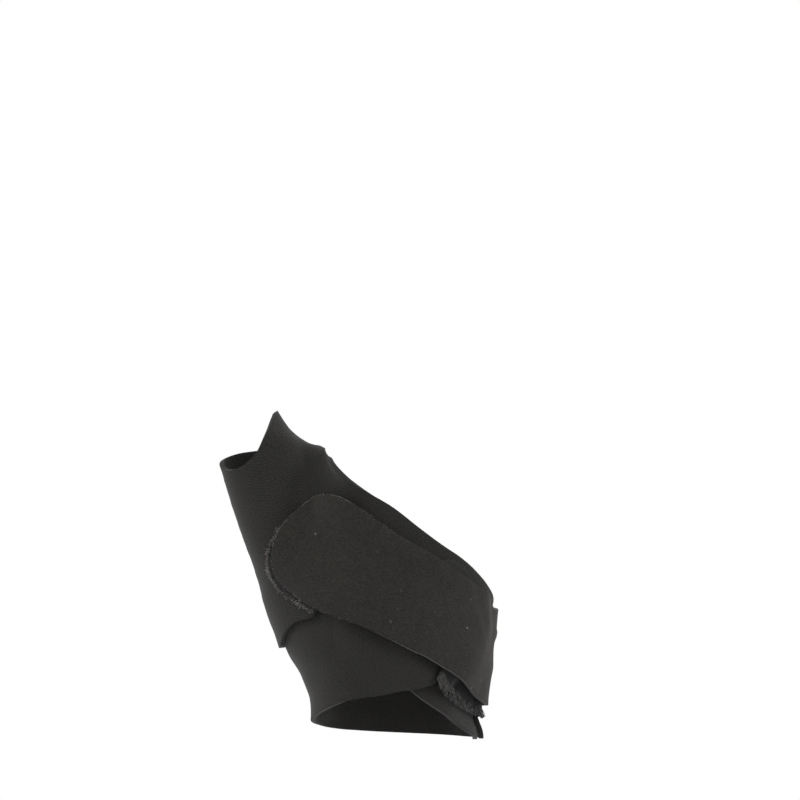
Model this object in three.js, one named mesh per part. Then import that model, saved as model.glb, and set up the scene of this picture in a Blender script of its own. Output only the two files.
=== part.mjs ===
import * as THREE from 'three';
import { mergeVertices } from 'three/addons/utils/BufferGeometryUtils.js';

// Sizes in millimetres. X runs to the right of the front view, Y runs away from it and Z runs up.
// The origin is the middle of the wrist opening, where the sleeve sits.
const wristBreadth = 49;
const wristDepth = 35.6;
const sleeveRise = 78.3;
const thumbReach = 40;
const thumbWidth = 20;
const clothThickness = 1.2;
const layerGap = 0.5;
const closingStrapWidth = 28.6;
const wristStrapWidth = 27.5;
const strapCornerRadius = 8;
const tabThickness = 0.8;
const closingTabWidth = 24;
const closingTabLength = 24;
const closingTabMargin = 1.3;
const wristTabWidth = 20;
const wristTabLength = 18;
const wristTabInset = 3;
const pileStripWidth = 9.6;
const pileStripLength = 30;
const pileStripShows = 3.8;

// A piece lying on another keeps this height above it for each layer below.
const clothStep = clothThickness + layerGap;
const tabStep = tabThickness + layerGap;

// A covering piece stays at full height just past the edge below it, then comes down over a short slope.
const coverMargin = 2.5;
const coverSlope = 7;

// The worn form of the wrist and palm, bottom to top. Rise is a share of the sleeve's rise, across and
// breadth are shares of the wrist's breadth, and depth is a share of the wrist's depth.
const wristSections = [
  { rise: -0.35, across: -0.016, breadth: 1.02, depth: 1.05 },
  { rise: 0, across: -0.012, breadth: 1, depth: 1 },
  { rise: 0.15, across: 0.004, breadth: 1.05, depth: 1.01 },
  { rise: 0.32, across: 0.032, breadth: 1.14, depth: 1 },
  { rise: 0.57, across: 0.108, breadth: 1.27, depth: 0.88 },
  { rise: 0.9, across: 0.206, breadth: 1.43, depth: 0.79 },
  { rise: 1.2, across: 0.247, breadth: 1.46, depth: 0.76 },
];

// The breadth of the wrist is turned this far from the front view.
const wristTurn = THREE.MathUtils.degToRad(45);

// The worn form of the thumb. Reach and front are shares of the thumb's reach, girth of its width.
const thumbSections = [
  { rise: 0.05, reach: 0.12, front: 0.05, girth: 1.15 },
  { rise: 0.2, reach: 0.31, front: 0.12, girth: 1.42 },
  { rise: 0.36, reach: 0.45, front: 0.16, girth: 1.46 },
  { rise: 0.59, reach: 0.69, front: 0.18, girth: 1.26 },
  { rise: 0.83, reach: 0.895, front: 0.19, girth: 1.06 },
  { rise: 1, reach: 1.035, front: 0.2, girth: 0.9 },
  { rise: 1.25, reach: 1.2, front: 0.2, girth: 0.9 },
];
const thumbPieces = 16;
const thumbBlend = 0.55 * thumbWidth;

// The web between thumb and palm is a round bar melted into both.
const webThumbEnd = new THREE.Vector3(-0.725 * thumbReach, -0.225 * thumbReach, 0.773 * sleeveRise);
const webPalmEnd = new THREE.Vector3(-0.204 * wristBreadth, -0.337 * wristDepth, 0.76 * sleeveRise);
const webRadius = 0.275 * thumbWidth;
const webBlend = 0.25 * thumbWidth;

// Edges of the sleeve, each row placed by what it lies on. Turn is in degrees, with 0 at the front and 90 at
// the right. On the wrist and palm it goes round the wrist's upright line, and rise is a share of the
// sleeve's rise. Round the thumb it goes round the thumb's line, and along is the place on that line, as a
// share of the sleeve's rise. At the web, acrossWeb is the share of the way across it, and lean is how many
// degrees the place leans from straight above the web to the front.
const sleeveTopEdges = [
  {
    cells: 18,
    rows: [
      { turn: 112, rise: 0.341 },
      { turn: 91.5, rise: 0.395 },
      { turn: 55.7, rise: 0.483 },
      { turn: 23, rise: 0.54 },
      { turn: -1.7, rise: 0.602 },
      { turn: -18.7, rise: 0.663 },
      { turn: -30.4, rise: 0.71 },
      { turn: -38.8, rise: 0.764 },
      { acrossWeb: 0.75, lean: 78 },
      { acrossWeb: 0.63, lean: 58 },
      { acrossWeb: 0.51, lean: 9 },
    ],
  },
  {
    cells: 3,
    seam: true,
    rows: [
      { acrossWeb: 0.51, lean: 9 },
      { acrossWeb: 0.31, lean: -8 },
      { turn: 82, along: 0.928 },
    ],
  },
  {
    cells: 22,
    rows: [
      { turn: 82, along: 0.928 },
      { turn: 60.5, along: 0.955 },
      { turn: 41.3, along: 0.939 },
      { turn: 16.4, along: 0.9 },
      { turn: -7, along: 0.858 },
      { turn: -29.3, along: 0.839 },
      { turn: -44.4, along: 0.838 },
      { turn: -60, along: 0.843 },
      { turn: -80, along: 0.856 },
      { turn: -100, along: 0.873 },
      { turn: -120, along: 0.878 },
      { turn: -152, along: 0.873 },
      { turn: -185, along: 0.851 },
      { turn: -212, along: 0.832 },
      { turn: -233.3, along: 0.858 },
      { turn: -256, along: 0.9 },
      { turn: -278, along: 0.928 },
    ],
  },
  {
    cells: 3,
    seam: true,
    rows: [
      { turn: 82, along: 0.928 },
      { acrossWeb: 0.31, lean: -8 },
      { acrossWeb: 0.51, lean: 9 },
    ],
  },
  {
    cells: 18,
    rows: [
      { acrossWeb: 0.51, lean: 9 },
      { acrossWeb: 0.74, lean: -58 },
      { acrossWeb: 0.91, lean: -102 },
      { turn: -114.5, rise: 0.715 },
      { turn: -142.2, rise: 0.643 },
      { turn: -161.4, rise: 0.563 },
      { turn: -181.8, rise: 0.505 },
      { turn: -207.8, rise: 0.419 },
    ],
  },
];
const sleeveBottomEdges = [
  {
    cells: 25,
    rows: [
      { turn: 112, rise: -0.147 },
      { turn: 92.5, rise: -0.148 },
      { turn: 74.1, rise: -0.098 },
      { turn: 49.2, rise: -0.049 },
      { turn: 12.2, rise: 0.039 },
      { turn: -15.9, rise: 0.207 },
      { turn: -25.9, rise: 0.292 },
      { turn: -38.9, rise: 0.421 },
    ],
  },
  {
    cells: 8,
    rows: [
      { turn: -38.9, rise: 0.421 },
      { turn: -43.5, rise: 0.336 },
      { turn: -46.3, rise: 0.295 },
      { turn: -52.4, rise: 0.285 },
      { turn: -57.1, rise: 0.274 },
      { turn: -62.2, rise: 0.248 },
      { turn: -71.1, rise: 0.2 },
    ],
  },
  {
    cells: 31,
    rows: [
      { turn: -71.1, rise: 0.2 },
      { turn: -100.6, rise: 0.19 },
      { turn: -120, rise: 0.149 },
      { turn: -149.4, rise: 0.099 },
      { turn: -179.6, rise: 0.026 },
      { turn: -209.7, rise: -0.037 },
    ],
  },
];
const sleeveRows = 18;

// Middle lines of the straps round the wrist's upright line. Turn is in degrees, with 0 at the front and
// 90 at the right, and rise is a share of the sleeve's rise.
const wristStrapPath = [
  { turn: -256, rise: 0.04 },
  { turn: -240, rise: 0.044 },
  { turn: -210, rise: 0.052 },
  { turn: -180, rise: 0.06 },
  { turn: -150, rise: 0.068 },
  { turn: -120, rise: 0.078 },
  { turn: -90, rise: 0.09 },
  { turn: -64, rise: 0.109 },
  { turn: -44, rise: 0.13 },
  { turn: -27.6, rise: 0.167 },
  { turn: -10.8, rise: 0.22 },
  { turn: 11.7, rise: 0.263 },
  { turn: 39, rise: 0.307 },
  { turn: 69, rise: 0.346 },
];
const closingStrapPath = [
  { turn: 150, rise: 0.165 },
  { turn: 130, rise: 0.165 },
  { turn: 107, rise: 0.172 },
  { turn: 82, rise: 0.193 },
  { turn: 32.5, rise: 0.269 },
  { turn: -4.8, rise: 0.354 },
  { turn: -28.5, rise: 0.441 },
  { turn: -45.7, rise: 0.516 },
  { turn: -54.2, rise: 0.553 },
  { turn: -60, rise: 0.591 },
];

// On the palm side, between these turns, the sleeve lies over the wrist strap. Elsewhere it lies under it.
const palmSide = { rampStart: 116, start: 136, end: 315, rampEnd: 328 };

const degrees = THREE.MathUtils.degToRad;
const smooth = THREE.MathUtils.smoothstep;

// Smooth reading of a table at a value of one of its columns.
function readTable(rows, key, value) {
  const last = rows.length - 1;
  const forward = Math.sign(rows[last][key] - rows[0][key]);
  let low = 0;
  while (low < last - 1 && (value - rows[low + 1][key]) * forward > 0) {
    low += 1;
  }
  const span = rows[low + 1][key] - rows[low][key];
  const share = THREE.MathUtils.clamp((value - rows[low][key]) / span, 0, 1);
  const slope = (column, index) => {
    const before = rows[Math.max(index - 1, 0)];
    const after = rows[Math.min(index + 1, last)];
    return (after[column] - before[column]) / (after[key] - before[key]);
  };
  const reading = {};
  for (const column of Object.keys(rows[0])) {
    const start = rows[low][column];
    const end = rows[low + 1][column];
    const bend = share * share * (3 - 2 * share);
    const leave = share * (1 - share) ** 2 * span * slope(column, low);
    const arrive = share ** 2 * (share - 1) * span * slope(column, low + 1);
    reading[column] = start + (end - start) * bend + leave + arrive;
  }
  return reading;
}

function thumbSectionAt(rise) {
  const { reach, front, girth } = readTable(thumbSections, 'rise', rise);
  return {
    centre: new THREE.Vector3(-reach * thumbReach, -front * thumbReach, rise * sleeveRise),
    radius: girth * thumbWidth / 2,
  };
}

const thumbLine = Array.from({ length: thumbPieces + 1 }, (_, index) => {
  const lowest = thumbSections[0].rise;
  const highest = thumbSections[thumbSections.length - 1].rise;
  return thumbSectionAt(lowest + (highest - lowest) * index / thumbPieces);
});

function distanceToBar(point, from, to) {
  const along = new THREE.Vector3().subVectors(to.centre, from.centre);
  const offset = new THREE.Vector3().subVectors(point, from.centre);
  const share = THREE.MathUtils.clamp(offset.dot(along) / along.lengthSq(), 0, 1);
  const radius = from.radius + (to.radius - from.radius) * share;
  return offset.addScaledVector(along, -share).length() - radius;
}

function distanceToThumb(point) {
  let nearest = Infinity;
  for (let index = 0; index < thumbPieces; index += 1) {
    nearest = Math.min(nearest, distanceToBar(point, thumbLine[index], thumbLine[index + 1]));
  }
  return nearest;
}

function distanceToWrist(point) {
  const { across, breadth, depth } = readTable(wristSections, 'rise', point.z / sleeveRise);
  const halfBreadth = breadth * wristBreadth / 2;
  const halfDepth = depth * wristDepth / 2;
  const right = point.x - across * wristBreadth;
  const broad = right * Math.cos(wristTurn) + point.y * Math.sin(wristTurn);
  const deep = right * Math.sin(wristTurn) - point.y * Math.cos(wristTurn);
  const reach = Math.hypot(broad / halfBreadth, deep / halfDepth, Number.EPSILON);
  const steepness = Math.hypot(broad / halfBreadth ** 2, deep / halfDepth ** 2, Number.EPSILON);
  return (reach - 1) * reach / steepness;
}

function melt(first, second, blend) {
  const share = THREE.MathUtils.clamp(0.5 + (second - first) / (2 * blend), 0, 1);
  return second + (first - second) * share - blend * share * (1 - share);
}

// How far a point is outside the worn form.
function heightAbove(point) {
  const web = distanceToBar(
    point,
    { centre: webThumbEnd, radius: webRadius },
    { centre: webPalmEnd, radius: webRadius },
  );
  return melt(melt(distanceToWrist(point), distanceToThumb(point), thumbBlend), web, webBlend);
}

function outwardAt(point) {
  const probe = 0.05;
  const slopes = ['x', 'y', 'z'].map((axis) => {
    const ahead = point.clone();
    const behind = point.clone();
    ahead[axis] += probe;
    behind[axis] -= probe;
    return heightAbove(ahead) - heightAbove(behind);
  });
  return new THREE.Vector3(...slopes).normalize();
}

function settle(point) {
  const settled = point.clone();
  for (let round = 0; round < 2; round += 1) {
    settled.addScaledVector(outwardAt(settled), -heightAbove(settled));
  }
  return settled;
}

// The place on the worn form reached by going straight out from a point inside it.
function goOut(start, way) {
  const stride = wristDepth / 20;
  const at = (distance) => start.clone().addScaledVector(way, distance);
  let outside = stride;
  while (heightAbove(at(outside)) < 0) {
    outside += stride;
  }
  let inside = outside - stride;
  for (let halving = 0; halving < 14; halving += 1) {
    const middle = (inside + outside) / 2;
    if (heightAbove(at(middle)) < 0) {
      inside = middle;
    } else {
      outside = middle;
    }
  }
  return at(outside);
}

// Follows the surface of the worn form sideways from a foot for a given distance.
function walk(foot, way, distance) {
  const steps = Math.max(Math.ceil(Math.abs(distance) / 2), 1);
  let place = foot;
  let heading = way.clone();
  for (let step = 0; step < steps; step += 1) {
    const next = settle(place.clone().addScaledVector(heading, distance / steps));
    heading = next.clone().sub(place).multiplyScalar(Math.sign(distance) || 1);
    const outward = outwardAt(next);
    heading.addScaledVector(outward, -heading.dot(outward)).normalize();
    place = next;
  }
  return place;
}

// Measures a line of points and reads it at any distance from its start.
function measure(points) {
  const marks = [0];
  for (let index = 1; index < points.length; index += 1) {
    marks.push(marks[index - 1] + points[index].distanceTo(points[index - 1]));
  }
  const length = marks[marks.length - 1];
  const pointAt = (distance) => {
    let low = 0;
    while (low < points.length - 2 && marks[low + 1] < distance) {
      low += 1;
    }
    const share = (distance - marks[low]) / (marks[low + 1] - marks[low]);
    return points[low].clone().lerp(points[low + 1], share);
  };
  return { length, pointAt };
}

function spaceEvenly(points, cells) {
  const line = measure(points);
  const inner = Array.from({ length: cells - 1 }, (_, index) => (
    settle(line.pointAt(line.length * (index + 1) / cells))
  ));
  return [points[0], ...inner, points[points.length - 1]];
}

// Places on the worn form, each reached straight out from the line that it is described by.
function onWrist({ turn, rise }) {
  const { across } = readTable(wristSections, 'rise', rise);
  const start = new THREE.Vector3(across * wristBreadth, 0, rise * sleeveRise);
  return goOut(start, new THREE.Vector3(Math.sin(degrees(turn)), -Math.cos(degrees(turn)), 0));
}

function onThumb({ turn, along }) {
  const ahead = thumbSectionAt(along + 0.01).centre;
  const line = ahead.sub(thumbSectionAt(along - 0.01).centre).normalize();
  const front = new THREE.Vector3(0, -1, 0).addScaledVector(line, line.y).normalize();
  const right = new THREE.Vector3().crossVectors(line, front);
  const way = front.multiplyScalar(Math.cos(degrees(turn))).addScaledVector(right, Math.sin(degrees(turn)));
  return goOut(thumbSectionAt(along).centre, way);
}

function onWeb({ acrossWeb, lean }) {
  const way = new THREE.Vector3(0, -Math.sin(degrees(lean)), Math.cos(degrees(lean)));
  return goOut(webThumbEnd.clone().lerp(webPalmEnd, acrossWeb), way);
}

function placeOf(row) {
  if ('along' in row) {
    return onThumb(row);
  }
  return 'acrossWeb' in row ? onWeb(row) : onWrist(row);
}

// The sleeve: columns of cloth run down from its top edge and the thumb opening to its bottom edge.
function edgeLine({ rows, cells }) {
  const guide = new THREE.CatmullRomCurve3(rows.map(placeOf), false, 'centripetal');
  return spaceEvenly(guide.getPoints(cells * 4).map((place) => settle(settle(place))), cells);
}

function joinEdges(edges) {
  const lines = edges.map(edgeLine);
  return lines.flatMap((line, index) => (index === 0 ? line : line.slice(1)));
}

const sleeveTop = joinEdges(sleeveTopEdges);
const sleeveBottom = joinEdges(sleeveBottomEdges);
const sleeveFeet = sleeveTop.map((top, column) => {
  const bottom = sleeveBottom[column];
  const between = Array.from({ length: sleeveRows * 2 - 1 }, (_, index) => (
    settle(settle(top.clone().lerp(bottom, (index + 1) / (sleeveRows * 2))))
  ));
  return spaceEvenly([top, ...between, bottom], sleeveRows);
});

// Each column is drawn level with its neighbours, most of all halfway down, until the cloth lies evenly.
for (let round = 0; round < 30; round += 1) {
  for (let column = 1; column < sleeveFeet.length - 1; column += 1) {
    const [left, here, right] = sleeveFeet.slice(column - 1, column + 2);
    const level = here.slice(1, -1).map((place, index) => {
      const row = index + 1;
      const middle = left[row].clone().lerp(right[row], 0.5);
      return place.clone().lerp(middle, Math.sin(Math.PI * row / sleeveRows) / 2);
    });
    sleeveFeet[column] = spaceEvenly([here[0], ...level, here[sleeveRows]], sleeveRows);
  }
}

// A strap: columns of cloth run across a path, closer together round its corners.
function strapPathLine(rows) {
  const guide = new THREE.CatmullRomCurve3(
    rows.map(({ turn, rise }) => new THREE.Vector3(turn, rise, 0)),
    false,
    'centripetal',
  );
  return measure(guide.getPoints(96).map(({ x: turn, y: rise }) => onWrist({ turn, rise })));
}

function strapFeet(line, { from, to, width, shift = 0, cornerRadius, cellsLong, cellsWide }) {
  const cornerCells = 4;
  const straight = to - cornerRadius;
  const stations = [];
  for (let index = 0; index < cellsLong; index += 1) {
    stations.push({ distance: from + (straight - from) * index / cellsLong, inset: 0 });
  }
  for (let index = 0; index <= cornerCells; index += 1) {
    const angle = Math.PI / 2 * index / cornerCells;
    stations.push({
      distance: straight + cornerRadius * Math.sin(angle),
      inset: cornerRadius * (1 - Math.cos(angle)),
    });
  }
  return stations.map(({ distance, inset }) => {
    const foot = settle(line.pointAt(distance));
    const outward = outwardAt(foot);
    const along = line.pointAt(distance + 1).sub(line.pointAt(distance - 1)).normalize();
    const sideways = new THREE.Vector3().crossVectors(outward, along).normalize();
    const half = width / 2 - inset;
    return Array.from({ length: cellsWide + 1 }, (_, index) => (
      walk(foot, sideways, shift - half + 2 * half * index / cellsWide)
    ));
  });
}

const closingLine = strapPathLine(closingStrapPath);
const wristLine = strapPathLine(wristStrapPath);
const closingStrapEnd = closingLine.length - closingTabMargin;

const closingStrapFeet = strapFeet(closingLine, {
  from: 0,
  to: closingStrapEnd,
  width: closingStrapWidth,
  cornerRadius: strapCornerRadius,
  cellsLong: 32,
  cellsWide: 10,
});
const wristStrapFeet = strapFeet(wristLine, {
  from: 0,
  to: wristLine.length,
  width: wristStrapWidth,
  cornerRadius: strapCornerRadius,
  cellsLong: 52,
  cellsWide: 9,
});

// The tab of hooks under the closing strap stands out past its end and its lower edge.
const closingTabFeet = strapFeet(closingLine, {
  from: closingLine.length - closingTabLength,
  to: closingLine.length,
  width: closingTabWidth,
  shift: (closingStrapWidth - closingTabWidth) / 2 + closingTabMargin,
  cornerRadius: strapCornerRadius,
  cellsLong: 5,
  cellsWide: 8,
});
const wristTabFeet = strapFeet(wristLine, {
  from: wristLine.length - wristTabInset - wristTabLength,
  to: wristLine.length - wristTabInset,
  width: wristTabWidth,
  cornerRadius: strapCornerRadius / 2,
  cellsLong: 5,
  cellsWide: 7,
});

// The pile strip lies along the lower edge of the closing strap and shows below it.
const pileStripStart = 0.14 * closingLine.length;
const pileStripFeet = strapFeet(closingLine, {
  from: pileStripStart,
  to: pileStripStart + pileStripLength,
  width: pileStripWidth,
  shift: closingStrapWidth / 2 + pileStripShows - pileStripWidth / 2,
  cornerRadius: pileStripWidth / 4,
  cellsLong: 12,
  cellsWide: 3,
});

// Turn and rise of a point round the wrist's upright line.
function turnAndRise(point) {
  const { across } = readTable(wristSections, 'rise', point.z / sleeveRise);
  const turn = Math.atan2(point.x - across * wristBreadth, -point.y);
  return new THREE.Vector2(turn, point.z / sleeveRise);
}

// The outline of a piece, kept both as points and as turns and rises that run on without a jump.
function outlineOf(points) {
  const chart = [];
  for (const point of points) {
    const place = turnAndRise(point);
    const before = chart.length > 0 ? chart[chart.length - 1].x : place.x;
    place.x += 2 * Math.PI * Math.round((before - place.x) / (2 * Math.PI));
    chart.push(place);
  }
  return { points, chart };
}

function outlineOfGrid(feet) {
  const first = feet[0];
  const last = feet[feet.length - 1];
  return outlineOf([
    ...feet.map((column) => column[0]),
    ...last.slice(1),
    ...feet.map((column) => column[column.length - 1]).reverse().slice(1),
    ...first.slice(1, -1).reverse(),
  ]);
}

function isWithin(chart, place) {
  let within = false;
  chart.forEach((corner, index) => {
    const next = chart[(index + 1) % chart.length];
    if ((corner.y > place.y) !== (next.y > place.y)) {
      const crossing = corner.x + (next.x - corner.x) * (place.y - corner.y) / (next.y - corner.y);
      within = crossing > place.x ? !within : within;
    }
  });
  return within;
}

// 1 over a piece, 0 well clear of it.
function coverBy(outline, point) {
  const place = turnAndRise(point);
  const turns = [-2 * Math.PI, 0, 2 * Math.PI];
  if (turns.some((turn) => isWithin(outline.chart, new THREE.Vector2(place.x + turn, place.y)))) {
    return 1;
  }
  const nearest = new THREE.Vector3();
  const side = new THREE.Line3();
  const distances = outline.points.map((corner, index) => {
    side.set(corner, outline.points[(index + 1) % outline.points.length]);
    return side.closestPointToPoint(point, true, nearest).distanceTo(point);
  });
  return 1 - smooth(Math.min(...distances), coverMargin, coverMargin + coverSlope);
}

function palmShare(point) {
  const turn = THREE.MathUtils.radToDeg(turnAndRise(point).x);
  const positive = THREE.MathUtils.euclideanModulo(turn, 360);
  return smooth(positive, palmSide.rampStart, palmSide.start)
    * (1 - smooth(positive, palmSide.end, palmSide.rampEnd));
}

const openingStart = sleeveTopEdges[0].cells;
const openingEnd = openingStart + sleeveTopEdges.slice(1, 4).reduce((sum, { cells }) => sum + cells, 0);
const sleeveOutline = outlineOf([
  ...sleeveTop.slice(0, openingStart),
  ...sleeveTop.slice(openingEnd),
  ...sleeveFeet[sleeveFeet.length - 1].slice(1),
  ...sleeveBottom.slice(0, -1).reverse(),
  ...sleeveFeet[0].slice(1, -1).reverse(),
]);
const wristStrapOutline = outlineOfGrid(wristStrapFeet);
const wristTabOutline = outlineOfGrid(wristTabFeet);
const closingTabOutline = outlineOfGrid(closingTabFeet);
const pileStripOutline = outlineOfGrid(pileStripFeet);

// Height of the underside of each piece above the worn form.
const layersBelowClosing = (foot) => (
  clothStep * (coverBy(sleeveOutline, foot) + coverBy(wristStrapOutline, foot))
  + tabStep * coverBy(wristTabOutline, foot)
);
const heights = {
  sleeve: (foot) => clothStep * coverBy(wristStrapOutline, foot) * palmShare(foot),
  wristTab: (foot) => clothStep * coverBy(sleeveOutline, foot),
  wristStrap: (foot) => (
    clothStep * coverBy(sleeveOutline, foot) * (1 - palmShare(foot))
    + tabStep * coverBy(wristTabOutline, foot)
  ),
  closingTab: layersBelowClosing,
  pileStrip: layersBelowClosing,
  closingStrap: (foot) => layersBelowClosing(foot)
    + tabStep * Math.max(coverBy(closingTabOutline, foot), coverBy(pileStripOutline, foot)),
};

// Closes a grid of feet into a sheet of even thickness. Edges marked as seams are sewn to each other.
function closedSheet({ name, material, feet, heightOf, thickness, seamed = () => false }) {
  const inner = [];
  const outer = [];
  for (const column of feet) {
    const lifted = column.map((foot) => ({ foot, outward: outwardAt(foot), height: heightOf(foot) }));
    inner.push(lifted.map(({ foot, outward, height }) => foot.clone().addScaledVector(outward, height)));
    outer.push(lifted.map(({ foot, outward, height }) => (
      foot.clone().addScaledVector(outward, height + thickness)
    )));
  }
  const long = feet.length - 1;
  const wide = feet[0].length - 1;
  const corners = [];
  const quad = (a, b, c, d) => corners.push(a, b, c, a, c, d);
  for (let i = 0; i < long; i += 1) {
    for (let j = 0; j < wide; j += 1) {
      quad(outer[i][j], outer[i + 1][j], outer[i + 1][j + 1], outer[i][j + 1]);
      quad(inner[i][j], inner[i][j + 1], inner[i + 1][j + 1], inner[i + 1][j]);
    }
    quad(inner[i + 1][wide], inner[i][wide], outer[i][wide], outer[i + 1][wide]);
    if (!seamed(i)) {
      quad(inner[i][0], inner[i + 1][0], outer[i + 1][0], outer[i][0]);
    }
  }
  for (let j = 0; j < wide; j += 1) {
    quad(inner[0][j + 1], inner[0][j], outer[0][j], outer[0][j + 1]);
    quad(inner[long][j], inner[long][j + 1], outer[long][j + 1], outer[long][j]);
  }
  const positions = corners.flatMap((corner) => corner.toArray());
  const geometry = new THREE.BufferGeometry();
  geometry.setAttribute('position', new THREE.Float32BufferAttribute(positions, 3));
  const welded = mergeVertices(geometry, 1e-4);
  const mesh = new THREE.Mesh(welded, material);
  mesh.name = name;
  return mesh;
}

const cloth = (color, roughness) => new THREE.MeshStandardMaterial({ color, roughness, metalness: 0 });
const knit = cloth(0x262625, 0.85);
const ribbed = cloth(0x292828, 0.85);
const brushed = cloth(0x2d2c2b, 0.95);
const hooks = cloth(0x3a3938, 0.8);
const pile = cloth(0x242322, 1);

const edgeIsSewn = sleeveTopEdges.flatMap(({ cells, seam = false }) => Array(cells).fill(seam));

const group = new THREE.Group();
group.add(
  closedSheet({
    name: 'thumb_sleeve',
    material: knit,
    feet: sleeveFeet,
    heightOf: heights.sleeve,
    thickness: clothThickness,
    seamed: (column) => edgeIsSewn[column],
  }),
  closedSheet({
    name: 'wrist_strap',
    material: ribbed,
    feet: wristStrapFeet,
    heightOf: heights.wristStrap,
    thickness: clothThickness,
  }),
  closedSheet({
    name: 'wrist_strap_tab',
    material: hooks,
    feet: wristTabFeet,
    heightOf: heights.wristTab,
    thickness: tabThickness,
  }),
  closedSheet({
    name: 'closing_strap',
    material: brushed,
    feet: closingStrapFeet,
    heightOf: heights.closingStrap,
    thickness: clothThickness,
  }),
  closedSheet({
    name: 'closing_strap_tab',
    material: hooks,
    feet: closingTabFeet,
    heightOf: heights.closingTab,
    thickness: tabThickness,
  }),
  closedSheet({
    name: 'pile_strip',
    material: pile,
    feet: pileStripFeet,
    heightOf: heights.pileStrip,
    thickness: tabThickness,
  }),
);

export default group;
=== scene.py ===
"""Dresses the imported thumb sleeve: cloth with cut edges, ribs, hook tape and pile, in its worn form."""
import math

import bpy
import numpy as np
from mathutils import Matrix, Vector


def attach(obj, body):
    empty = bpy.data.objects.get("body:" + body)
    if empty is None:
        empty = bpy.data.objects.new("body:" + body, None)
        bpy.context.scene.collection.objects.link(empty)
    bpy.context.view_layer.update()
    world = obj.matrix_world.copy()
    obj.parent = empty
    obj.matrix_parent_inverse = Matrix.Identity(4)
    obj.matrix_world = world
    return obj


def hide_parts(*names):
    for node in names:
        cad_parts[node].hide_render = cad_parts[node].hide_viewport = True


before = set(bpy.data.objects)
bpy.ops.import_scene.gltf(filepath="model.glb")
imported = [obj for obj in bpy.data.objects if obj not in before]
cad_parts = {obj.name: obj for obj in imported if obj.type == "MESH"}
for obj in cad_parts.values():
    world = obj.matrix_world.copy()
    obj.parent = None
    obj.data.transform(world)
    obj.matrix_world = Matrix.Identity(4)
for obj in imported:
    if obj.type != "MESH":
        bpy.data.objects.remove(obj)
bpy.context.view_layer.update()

bpy.ops.object.select_all(action="DESELECT")
chance = np.random.default_rng(7)

# The camera looks level at the front, from far enough away that near and far parts keep their size.
VIEW_WIDTH = 0.216
VIEW_DISTANCE = 4.0
SENSOR = 36.0
camera = bpy.data.cameras.new("view")
camera.sensor_width = SENSOR
camera.lens = SENSOR * VIEW_DISTANCE / VIEW_WIDTH
viewer = bpy.data.objects.new("view", camera)
bpy.context.collection.objects.link(viewer)
viewer.location = (0.00108, -VIEW_DISTANCE, 0.081)
viewer.rotation_euler = (math.radians(90), 0, 0)
bpy.context.scene.camera = viewer

# The worn form, in millimetres, with the same tables as the source of the solids.
MM = 0.001
WRIST_BREADTH = 49
WRIST_DEPTH = 35.6
SLEEVE_RISE = 78.3
THUMB_REACH = 40
THUMB_WIDTH = 20
CLOTH = 1.2
TAPE = 0.8
LAYER_GAP = 0.5
CLOTH_STEP = CLOTH + LAYER_GAP
TAPE_STEP = TAPE + LAYER_GAP
WRIST_TURN = math.radians(45)
THUMB_PIECES = 16

# How far past a piece the layer above it stays up, and over how far it then comes down.
COVER_MARGIN = 2.5
COVER_SLOPE = 7
STRAP_MARGIN = 1.0
STEEP_SLOPE = 4.0
GENTLE_SLOPE = 16.0

# Heights of what shapes the cloth, in millimetres.
WEB_CREST = 2.2
WEB_DENT = 1.5
TIP_DRAWN_IN = 1.7
WRIST_DRAWN_IN = 1.4
SIDE_DRAWN_IN = 1.6
END_SHOWS = 0.4
EDGE_LIFT = 1.5
CREASE = 0.22
SEWN_DOWN = 0.35

# How often the sleeve's rows, the front below its web and the closing strap are evened out.
ROW_ROUNDS = 50
WEB_ROUNDS = 60
STRAP_ROUNDS = 14

# A rise in the closing strap is widened by this much along it, narrowed again, and softened.
BRIDGE_OUT = 13
BRIDGE_BACK = 9
BEND = 3

# Cells of a strap's middle line and of the sides of a cut.
LINE_CELLS = 96
CUT_CELLS = 400

# Numbers of fibres and stitches, and a stitch's length.
TUFTS = 1500
FRAYS = 1300
STITCHES = 15
STITCH_LENGTH = 1.3

# Rise, across, breadth and depth.
WRIST_SECTIONS = np.array([
    (-0.35, -0.016, 1.02, 1.05),
    (0, -0.012, 1, 1),
    (0.15, 0.004, 1.05, 1.01),
    (0.32, 0.032, 1.14, 1),
    (0.57, 0.108, 1.27, 0.88),
    (0.9, 0.206, 1.43, 0.79),
    (1.2, 0.247, 1.46, 0.76),
])
# Rise, reach, front and girth.
THUMB_SECTIONS = np.array([
    (0.05, 0.12, 0.05, 1.15),
    (0.2, 0.31, 0.12, 1.42),
    (0.36, 0.45, 0.16, 1.46),
    (0.59, 0.69, 0.18, 1.26),
    (0.83, 0.895, 0.19, 1.06),
    (1, 1.035, 0.2, 0.9),
    (1.25, 1.2, 0.2, 0.9),
])
WEB_ENDS = np.array([
    (-0.725 * THUMB_REACH, -0.225 * THUMB_REACH, 0.773 * SLEEVE_RISE),
    (-0.204 * WRIST_BREADTH, -0.337 * WRIST_DEPTH, 0.76 * SLEEVE_RISE),
])
WEB_RADIUS = 0.275 * THUMB_WIDTH
THUMB_BLEND = 0.55 * THUMB_WIDTH
WEB_BLEND = 0.25 * THUMB_WIDTH

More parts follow.
